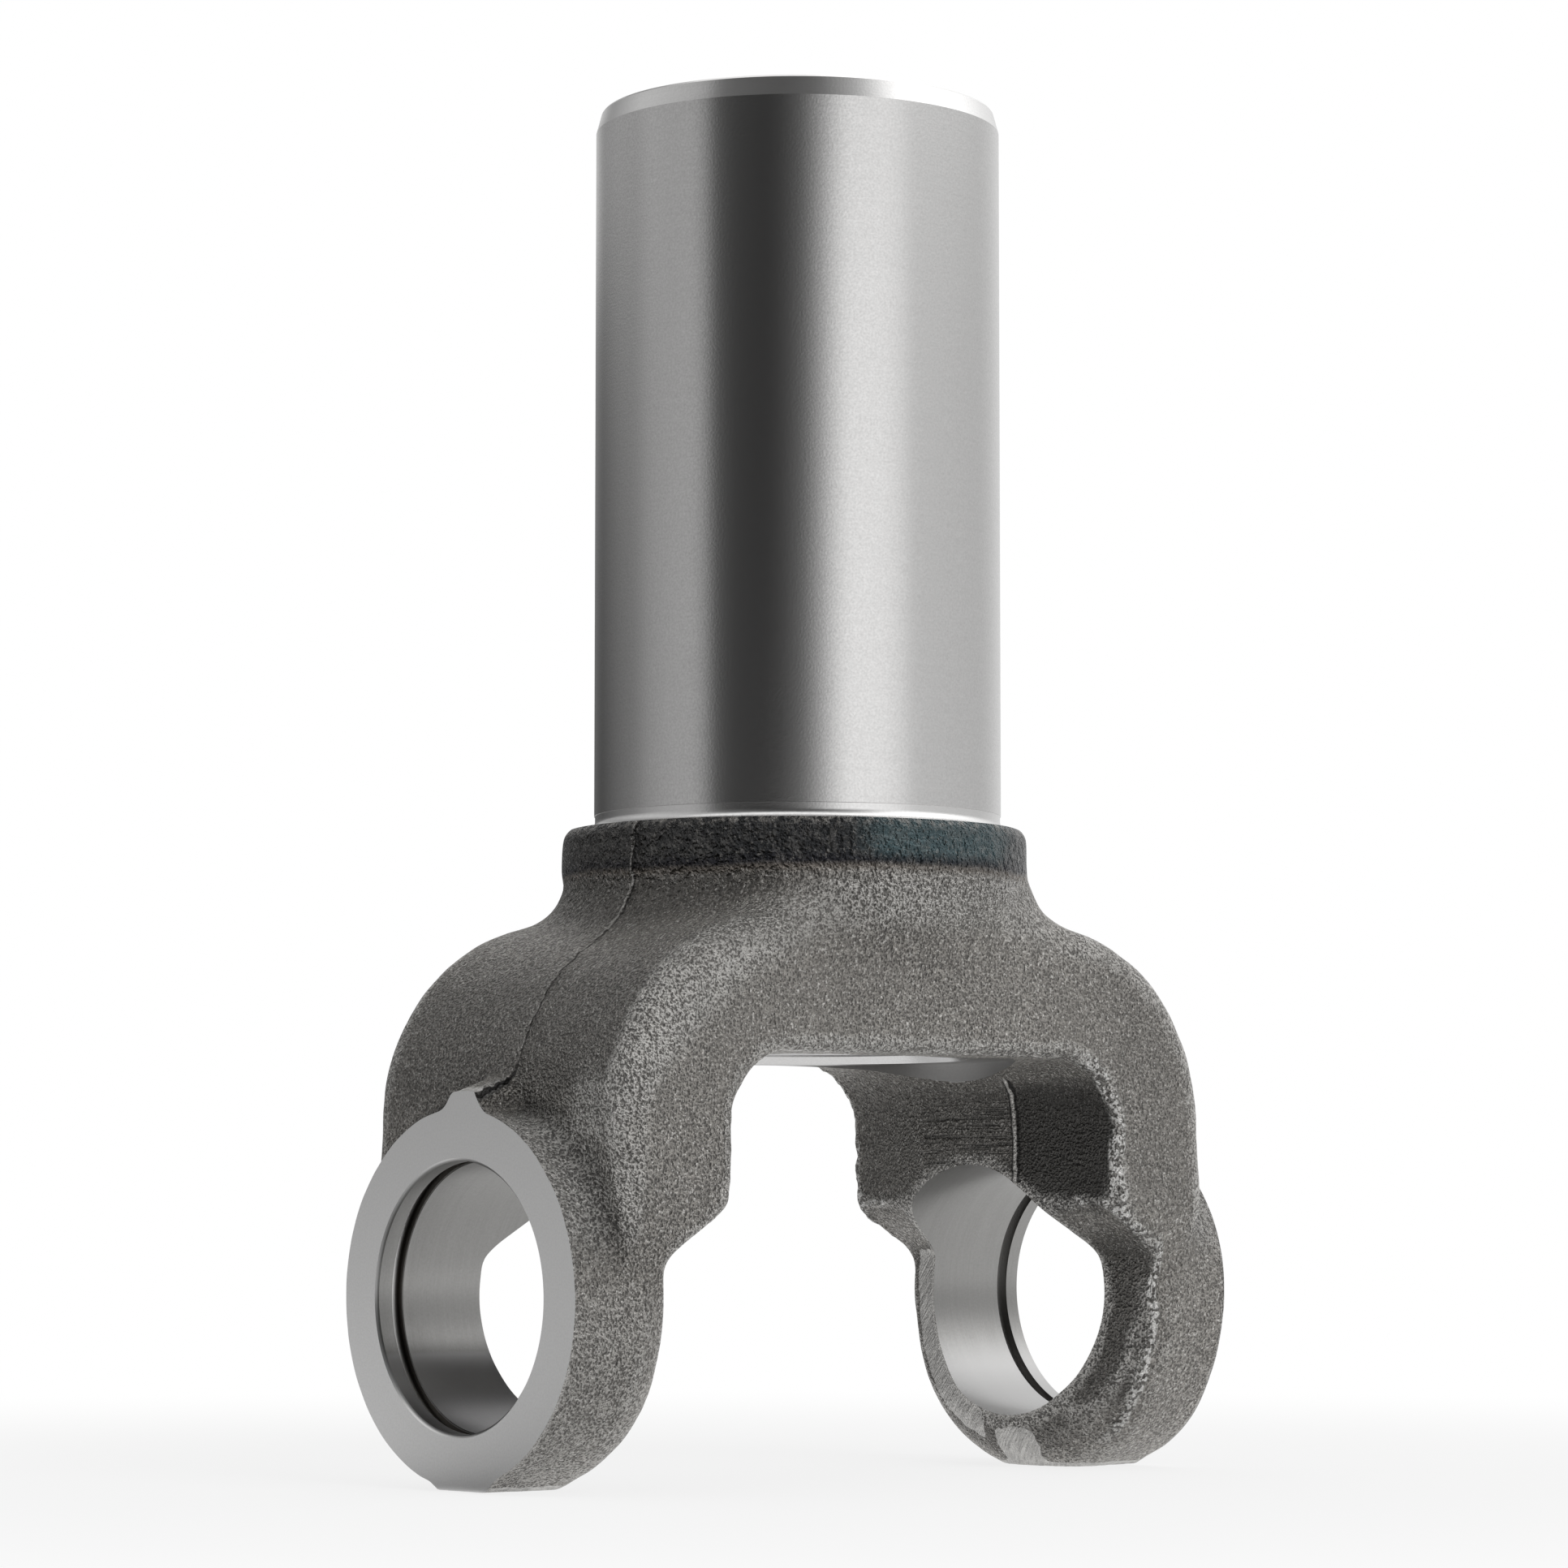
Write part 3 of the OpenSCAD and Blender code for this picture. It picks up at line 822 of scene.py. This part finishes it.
# the relief: a grain, coarsest on the collar and gone where a tool has passed, and the marks on it
def skinHeight(s):
    level = s.level
    gain = times(addRange(s.patch, 0.0, 1.0, 1.0, 0.2), addRange(level, 0.042, 0.047, 1.0, 1.6))
    gain = times(gain, addRange(s.edge, 0.0, 1.0, 1.0, 1.8))
    height = times(s.height, gain)
    pimples = addRange(addNoise(s.place, 1150, 1.5), 0.4, 0.68)
    for value, share in (
            (s.shearRelief, 0.35), (s.tornRelief, 0.7), (s.scores, -0.4),
            (pimples, addRange(level, 0.042, 0.048, 0.1, 1.3)),
            (s.seamRidge, 0.5), (s.burrRidge, 0.8), (s.lapDark, -2.0)):
        height = timesPlus(value, share, height)
    return height


def forgedSkin(p):
    m, tree, shader = newMaterial("forgedSkin")
    s = skinValues(tree, p)
    addSeams(s)
    base = blastedColor(s, p)
    base = tornColor(s, p, base)
    base = trimmedColor(s, p, base)
    # a painted highlight along the burr's raised line
    base = addCoat(base, p["bright"], s.burrRidge, addRange(s.lump, 0.3, 0.55, 0.5, 1.0))
    base = tintedColor(s, p, base)
    # a painted highlight along the seam's raised line, brightest on the collar, below the tint
    level = s.level
    below, inTint = addRange(level, 0.0405, 0.044, 0.25, 0.9), addRange(level, 0.047, 0.05, 1.0, 0.4)
    base = addCoat(base, p["bright"], s.seamRidge, addMath("MINIMUM", below, inTint))
    # painted shade beside the seam and the burr and in the lap
    base = addCoat(base, p["crack"], s.dark)
    # worn crests scatter light like a matt surface
    matt = times(s.edge, addRange(s.across, 0.0425, 0.0465, 0.2, 0.7))
    tree.links.new(addMath("SUBTRACT", 1.0, matt), shader.inputs["Metallic"])
    rough = timesPlus(s.edge, -0.06, addRange(s.fleck, 0.0, 1.0, 0.5, 0.36))
    rough = addMath("ADD", rough, addRange(level, 0.044, 0.048, 0.0, -0.16))
    feedShader(shader, base, rough, skinHeight(s), p["relief"])
    return m


# radius from an axis, angle from nought to half a turn in radians and height along it, from a place
def polarPlace(place, axis):
    order = {"z": "XYZ", "x": "YZX"}[axis]
    given = parts(place)
    first, second, along = (given[name] for name in order)
    angle = addMath("ABSOLUTE", addMath("ARCTAN2", second, first))
    return addFed("CombineXYZ", {0: addLength(first, second), 1: angle, 2: along}).outputs[0]


# painted reflection: below a sharp level the left bore takes a flat tone that darkens toward its bottom, and
# the right one is painted lighter at its bottom; painted light lightens the left bore's grooves, and painted
# shade darkens the inner corner of each snap ring groove
def boredColor(place, turned, p, base):
    x, _, z = parts(place)
    radius, _, along = parts(turned)
    dull = times(addRange(x, -0.03, -0.031), addRange(z, -0.0062, -0.0068))
    base = addCoat(base, addMix(addRange(z, -0.009, -0.014), p["dull"], p["deep"]), dull)
    highlightMask = times(addRange(x, 0.03, 0.031), addRange(z, -0.005, -0.01))
    base = addCoat(base, p["polished"], highlightMask)
    # the grooves lie deeper than the bore's wall
    groove = addRange(radius, capR * mm + 0.00004, capR * mm + 0.0003)
    base = addCoat(base, p["fresh"], groove, addRange(x, 0.0, -0.01))
    corner = addRange(addMath("ABSOLUTE", along), grooveIn * mm + 0.0001, grooveIn * mm + 0.0006, 1.0, 0.0)
    return addCoat(base, p["stain"], corner, groove, 0.93)


# a cut steel surface: tool lines follow the squeezed polar coordinates, over a fine sandy grain
def cutSteel(name, p):
    m, tree, shader = newMaterial(name)
    place = objectPlace(tree)
    turned = polarPlace(place, p["axis"])
    given = {"Vector": addMapping(turned, "Scale", p["lines"]), "Fine": p["depth"]}
    lines = addFed("Group", given, node_tree=toolLines)
    sand = addNoise(place, 3800, 1.0)
    tone = timesPlus(lines.outputs["Streak"], p["streak"], times(sand, p["sand"]))
    middle = 0.5 * (p["streak"] + p["sand"])
    tone = addRange(tone, middle - 0.35, middle + 0.35, 0.0, 1.0, smooth=False)
    base = addMix(tone, p["shade"], p["color"])
    if "stain" in p:
        base = boredColor(place, turned, p, base)
    shader.inputs["Metallic"].default_value = 1.0
    rough = addRange(tone, 0.0, 1.0, p["rough"] + 0.03, p["rough"] - 0.03)
    feedShader(shader, base, rough, timesPlus(sand, p["sand"], lines.outputs["Height"]), p["relief"])
    return m


# what a cut steel has unless it says otherwise; the relief is in metres
anySteel = {"axis": "z", "depth": 0.5, "streak": 0.5, "sand": 0.5, "relief": 0.00001}
steels = {
    "milledSteel": {
        "color": (0.82, 0.817, 0.813, 1), "shade": (0.72, 0.717, 0.713, 1), "rough": 0.34, "axis": "x",
        "lines": (2600, 3, 1), "depth": 0.3, "streak": 0.25, "sand": 0.7},
    "boredSteel": {
        "color": (0.33, 0.327, 0.32, 1), "shade": (0.25, 0.247, 0.24, 1), "rough": 0.33, "axis": "x",
        # painted reflection tones for the bores' low parts, painted light for the left grooves and painted
        # shade for the groove corners
        "dull": (0.36, 0.357, 0.358, 1), "deep": (0.13, 0.128, 0.13, 1), "polished": (0.41, 0.407, 0.404, 1),
        "fresh": (0.8, 0.795, 0.79, 1), "stain": (0.035, 0.028, 0.02, 1),
        "lines": (1, 3, 6000), "depth": 0.6, "streak": 0.7, "sand": 0.4},
    "turnedSteel": {
        "color": (0.74, 0.735, 0.73, 1), "shade": (0.62, 0.615, 0.61, 1), "rough": 0.22,
        "lines": (4000, 3, 4000), "relief": 0.000012},
    # the spot face under the crotch: turned steel painted darker, as painted shade
    "spotSteel": {
        "color": (0.42, 0.415, 0.41, 1), "shade": (0.34, 0.335, 0.33, 1), "rough": 0.3,
        "lines": (4000, 3, 4000), "relief": 0.000012},
    "seatSteel": {
        "color": (0.86, 0.855, 0.85, 1), "shade": (0.70, 0.695, 0.69, 1), "rough": 0.5,
        "lines": (1, 3, 3000), "relief": 0.00002},
    "groundSteel": {
        "color": (0.7, 0.695, 0.69, 1), "shade": (0.51, 0.505, 0.5, 1), "rough": 0.2,
        "lines": (1, 9, 5000), "depth": 0.35, "streak": 0.3, "sand": 0.7},
    "broachedSteel": {
        "color": (0.55, 0.54, 0.53, 1), "shade": (0.42, 0.41, 0.40, 1), "rough": 0.3,
        "lines": (1, 3000, 40), "depth": 0.6, "streak": 0.7, "sand": 0.4, "relief": 0.00002},
}
finishes = {name: cutSteel(name, anySteel | p) for name, p in steels.items()}

# places of the sheared and filed patches, and of the painted highlight on the crest under the collar
patches = {
    "tipHeight": 0.7, "tabLow": 22.1, "tabHigh": 23.2, "tabY": -0.8, "tabHalf": 3.2, "tabX": 48,
    "bandY": -0.5, "bandHalf": 4.6, "bandTop": -15.5, "dressedX": 30, "dressedY": 4,
    "stripTop": 6.5, "stripRadius": 19.6, "tongueY": 15.2, "tongueZ": 9.5, "tongueRadius": 2.6,
    "crestZ": 44.6, "crestFall": 0.0175, "crestFlat": 8, "crestHalf": 4,
}


# where the flash was sheared or filed off: the tabs, the tips and the low inner rims
def trimmedPlaces(points, normals, p):
    x, y, z = points.T
    out = outward(points, normals)
    tip = rise(z, tipZ + p["tipHeight"], -0.4)
    tab = rise(z, p["tabLow"], 0.2) * rise(np.abs(y - p["tabY"]), p["tabHalf"], -0.6)
    tab = tab * (np.abs(x) > p["tabX"]) * (z < p["tabHigh"])
    lowBand = rise(np.abs(y - p["bandY"]), p["bandHalf"], -2.4) * rise(z, p["bandTop"], -2)
    lowBand = lowBand * rise(out, -0.1, -0.3)
    # the right ear's far side was dressed with a file, and its top corner milled
    inner = rise(x, p["dressedX"], 1) * rise(out, -0.75, -0.1) * rise(y, p["dressedY"], 1.5)
    strip = inner * rise(z, p["stripTop"], -2.5) * rise(np.hypot(y, z), p["stripRadius"], -1.6)
    tongue = inner * rise(np.hypot(y - p["tongueY"], z - p["tongueZ"]), p["tongueRadius"], -0.8)
    return np.clip(tip + tab + lowBand + strip + tongue, 0, 1)


# painted shade: darker on the inner faces outside the trimmed band and a little inside it, on the outer faces
# high up, on the right-hand side and in the valleys by the ears
def shadedPlaces(points, normals):
    x, y, z = points.T
    out = outward(points, normals)
    inward = rise(out, -0.6, -0.3)
    beside = ease(burrDistance(points) / 0.4 + 0.5) * (y < 0)
    low = rise(z, 9, -5)
    cut = rise(x, fork["shearX"], -0.7) * (x > 30) * (y < 0) * rise(z, -17, 6)
    outer = rise(out, 0.5, 0.3) * rise(z, 18, 6)
    right = 0.22 * rise(x, 20, 12) * rise(z, 6, 6)
    inner = inward * (0.35 + 0.65 * beside) * (1 - low) + low * np.maximum(0.55 * inward, 0.8 * cut)
    return inner + np.maximum(0.5 * outer + right, valleyPlaces(points) * rise(z, 3, 6))


# wear and painted highlight: edges that stand out, and painted highlight on the front of the fillet under the
# collar, the ears' upper flanks and the left ear's lower front
def wornAndLitPlaces(points, edges, normals, p):
    x, y, z = points.T
    crestZ = p["crestZ"] - p["crestFall"] * np.maximum(np.abs(x) - p["crestFlat"], 0) ** 2
    # painted highlights on crests that face the light
    crest = ease(1.15 - np.abs(z - crestZ) / p["crestHalf"]) * rise(x, 26, -14) * rise(y, -12, -4)
    crest += rise(np.abs(x), 43.5, 3) * rise(z, 2, 8) * rise(z, 21.5, -3) * rise(y, -4, -3)
    crest += 0.4 * rise(x, -38, -4) * rise(z, 4, -6) * (y < 0)
    return np.clip(rise(sharpness(points, edges, normals, 22), 0.065, 0.12) + crest, 0, 1)


# a signed distance kept within 4 mm, and put out of reach where its line doesn't show
def heldDistance(distance, places):
    far = 4
    return np.where(places > 0.3, np.clip(distance, -far, far), far)


# the fields that the skin's material reads: wear with painted highlight, painted shade, torn rim, trimmed
# places, and distances from two lines
def setFields(mesh):
    points, normals, edges = readPoints(mesh), readNormals(mesh), readEdges(mesh)
    x, y, z = points.T
    inward = rise(outward(points, normals), -0.6, -0.3)
    burr = burrDistance(points)
    fields = {
        # wear and painted highlight
        "edge": wornAndLitPlaces(points, edges, normals, patches),
        "band": inward * rise(burr, 0, -0.5) * rise(z, 9, 3) * rise(z, 25, -4),
        "torn": ragged(points, edges, normals),
        "trim": trimmedPlaces(points, normals, patches),
        "seam": heldDistance(seamDistance(points), seamPlaces(points, normals)),
        "burr": heldDistance(burr, burrPlaces(points, normals)),
        # painted shade
        "scale": shadedPlaces(points, normals),
        "lap": rise(np.abs(x), 42, 3) * rise(z, 27, -2),
    }
    for name, values in fields.items():
        field = mesh.attributes.new(name, "FLOAT", "POINT")
        field.data.foreach_set("value", values.astype(np.float32))


def finishPiece(piece, materials, angle, flat=False):
    for m in materials:
        piece.data.materials.append(m)
    smooth = np.ones(len(piece.data.polygons), bool) & ~np.asarray(flat)
    piece.data.polygons.foreach_set("use_smooth", smooth)
    piece.data.set_sharp_from_angle(angle=math.radians(angle))
    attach(piece, "root")
    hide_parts("yoke")


forging = makeForging()
finish = finishOf(forging.data)
forging.data.polygons.foreach_set("material_index", finish)
setFields(forging.data)
cuts = [finishes[k] for k in ("milledSteel", "boredSteel", "turnedSteel", "seatSteel", "spotSteel")]
finishPiece(forging, [forgedSkin(skin)] + cuts, 38, finish == 1)
barrelPiece = makeBarrel()
finishPiece(barrelPiece, [finishes[k] for k in ("groundSteel", "turnedSteel", "broachedSteel")], 10)

# a pale floor, a white world and a light tent that only reflections see
stage = {
    "floorZ": tipZ * mm - 0.0002,
    "floorSize": 3.0,
    "floorColor": (0.8, 0.8, 0.8, 1),
    "floorClear": (0.08, 0.3),
    # the tent's profile in mm: the sheet's gap over the floor and radii, then radius and height
    "tentGap": 0.15,
    "sheet": (51, 200, 500, 1500),
    "wall": ((1600, 900), (1400, 1500), (900, 1900), (400, 2050), (2, 2080)),
    "middleZ": 0.06,
    # degrees up over which the light turns from level to high, to the dome, and to below
    "toHigh": (11, 32),
    "toDome": (50, 68),
    "toBelow": (-2, -10),
    "domeLeast": 1.2,
    # degrees to the right of the camera, and brightness there: level with the barrel, high, and below
    "level": ((-180, 0.4), (-145, 0.18), (-121, 0.27), (-104, 0.3), (-91, 0.43), (-60, 0.52), (-53, 0.4),
              (-47, 0.1), (-36, 0.05), (-17, 0.03), (-8, 0.05), (3, 0.13), (12, 0.42), (20, 0.88), (28, 1.22),
              (48, 1.18), (60, 1.0), (68, 0.75), (108, 0.69), (126, 0.66), (151, 0.8), (180, 0.8)),
    "high": ((-180, 1.0), (-145, 0.3), (-110, 0.7), (-62, 0.5), (-52, 0.15), (-10, 0.07), (14, 0.12),
             (40, 0.5), (70, 1.75), (100, 1.85), (125, 1.5), (146, 1.25), (158, 1.2), (172, 1.1), (180, 1.0)),
    "below": ((-180, 0.9), (-140, 0.3), (-120, 0.6), (-98, 0.8), (-80, 0.65), (-66, 0.4), (-50, 0.12),
              (-30, 0.35), (0, 1.2), (60, 1.2), (110, 1.0), (150, 1.0), (180, 0.9)),
}
camera = {
    "place": (-0.394358, -0.455524, 0.010135),
    "target": (0, 0, 0.059758),
    "lens": 117.757,
    "shift": (-0.0086, -0.00034),
}
toCamera = math.atan2(camera["place"][1], camera["place"][0])
keyLamp = {"turn": 40, "lift": 25, "distance": 1.3, "size": (0.7, 0.9), "power": 6, "aimZ": 0.05}


def makeCamera(c):
    data = bpy.data.cameras.new("camera")
    data.sensor_width = 36
    data.lens = c["lens"]
    data.shift_x, data.shift_y = c["shift"]
    data.clip_start, data.clip_end = 0.01, 20
    made = newObject("camera", data)
    made.location = c["place"]
    made.rotation_euler = (Vector(c["target"]) - Vector(c["place"])).to_track_quat("-Z", "Y").to_euler()
    bpy.context.scene.camera = made


# 1 for camera, glossy and transmission rays
def addSeen(tree):
    path = addNode(tree, "LightPath").outputs
    return larger(larger(path["Is Camera Ray"], path["Is Glossy Ray"]), path["Is Transmission Ray"])


# a pale floor that turns plain white away from the object, so that only the soft shadow shows
def makeFloor(s):
    h = s["floorSize"]
    points = np.array([[x, y, s["floorZ"]] for x, y in ((-h, -h), (h, -h), (h, h), (-h, h))]) / mm
    floor = meshObject("floor", points, [[0, 1, 2, 3]])
    m, tree, shader = newMaterial("paleFloor")
    tree.nodes.remove(shader)
    matt, plain = addNode(tree, "BsdfDiffuse"), addNode(tree, "Emission")
    matt.inputs["Color"].default_value = s["floorColor"]
    plain.inputs["Color"].default_value = (1, 1, 1, 1)
    length = addFed("VectorMath", {0: objectPlace(tree)}, operation="LENGTH")
    seen = times(addSeen(tree), addRange(length.outputs["Value"], *s["floorClear"], 0.8, 1.0))
    mix = addFed("MixShader", {0: seen, 1: matt.outputs[0], 2: plain.outputs[0]})
    tree.links.new(mix.outputs[0], tree.nodes["Material Output"].inputs[0])
    floor.data.materials.append(m)


# brightness looked up along (degrees, brightness) stops, kept within 0..1 and scaled by the largest
def addRamp(turn, stops):
    most = max(value for _, value in stops)
    ramp = addFed("ValToRGB", {0: turn})
    ramp.color_ramp.elements[0].position = 0
    while len(ramp.color_ramp.elements) < len(stops):
        ramp.color_ramp.elements.new(0.5)
    for element, (degrees, value) in zip(ramp.color_ramp.elements, stops):
        element.position = degrees / 360 + 0.5
        element.color = (value / most, value / most, value / most, 1)
    return times(ramp.outputs[0], most)


# a range whose ends are given in degrees, of an angle in radians
def addTurnRange(angle, ends, smooth=True):
    return addRange(angle, math.radians(ends[0]), math.radians(ends[1]), smooth=smooth)


# a light tent turned about Z and seen only in reflections: a low ground sheet, a wall and a dome
def makeTent(s):
    ground = s["floorZ"] / mm + s["tentGap"]
    profile = [(r, ground) for r in s["sheet"]] + [(s["wall"][0][0], ground + 60)] + list(s["wall"])
    rings = turnedRings(profile, 96)
    faces = gridFaces(len(profile), 96)[:, ::-1]
    tent = meshObject("lightTent", rings.reshape(-1, 3), faces.tolist())
    m, tree, shader = newMaterial("tentCloth")
    tree.nodes.remove(shader)
    x, y, z = parts(objectPlace(tree))
    # the angle to the right of the camera as a share of a turn, and the angle up from the object's middle
    co, si = math.cos(toCamera), math.sin(toCamera)
    ahead = timesPlus(x, co, times(y, si))
    right = timesPlus(y, co, times(x, -si))
    angle = addMath("ARCTAN2", right, ahead)
    turn = timesPlus(angle, 1 / (2 * math.pi), 0.5)
    lift = addMath("ARCTAN2", addMath("SUBTRACT", z, s["middleZ"]), addLength(x, y))
    level, over, under = (addRamp(turn, s[k]) for k in ("level", "high", "below"))
    # the level band grows brighter upward at the far left, as the barrel's edge shows
    up = addRange(z, 0.17, 0.38, -0.6, -0.15, smooth=False)
    up = addMath("ADD", up, addRange(z, 0.37, 0.45, 0.0, 1.3))
    left = addTurnRange(angle, (-75, -145), smooth=False)
    level = times(level, timesPlus(up, left, 1.0))
    glow = addMix(addTurnRange(lift, s["toHigh"]), level, over)
    glow = addMix(addTurnRange(lift, s["toDome"]), glow, larger(over, s["domeLeast"]))
    glow = addMix(addTurnRange(lift, s["toBelow"]), glow, under)
    cloth = addFed("Emission", {"Color": glow})
    tree.links.new(cloth.outputs[0], tree.nodes["Material Output"].inputs[0])
    tent.data.materials.append(m)
    tent.visible_camera = tent.visible_diffuse = tent.visible_shadow = tent.visible_transmission = False


# white where it is seen or mirrored, and grey as light on the object
def makeWorld():
    world = bpy.data.worlds.new("studio")
    bpy.context.scene.world = world
    world.use_nodes = True
    tree = world.node_tree
    background = tree.nodes["Background"]
    color = addMix(addSeen(tree), (0.6, 0.6, 0.6, 1), (1, 1, 1, 1))
    tree.links.new(color, background.inputs["Color"])
    background.inputs["Strength"].default_value = 1.0


# an area lamp at an angle to the right of the camera and an angle up, which no reflection shows
def makeLamp(name, s):
    data = bpy.data.lights.new(name, "AREA")
    data.shape = "RECTANGLE"
    data.size, data.size_y = s["size"]
    data.energy = s["power"]
    made = newObject(name, data)
    a, e = toCamera + math.radians(s["turn"]), math.radians(s["lift"])
    place = Vector((math.cos(a) * math.cos(e), math.sin(a) * math.cos(e), math.sin(e))) * s["distance"]
    made.location = place + Vector((0, 0, s["aimZ"]))
    made.rotation_euler = (-place).to_track_quat("-Z", "Y").to_euler()
    made.visible_glossy = False


makeCamera(camera)
makeFloor(stage)
makeTent(stage)
makeWorld()
makeLamp("keyLamp", keyLamp)
bpy.context.scene.view_settings.view_transform = "Standard"
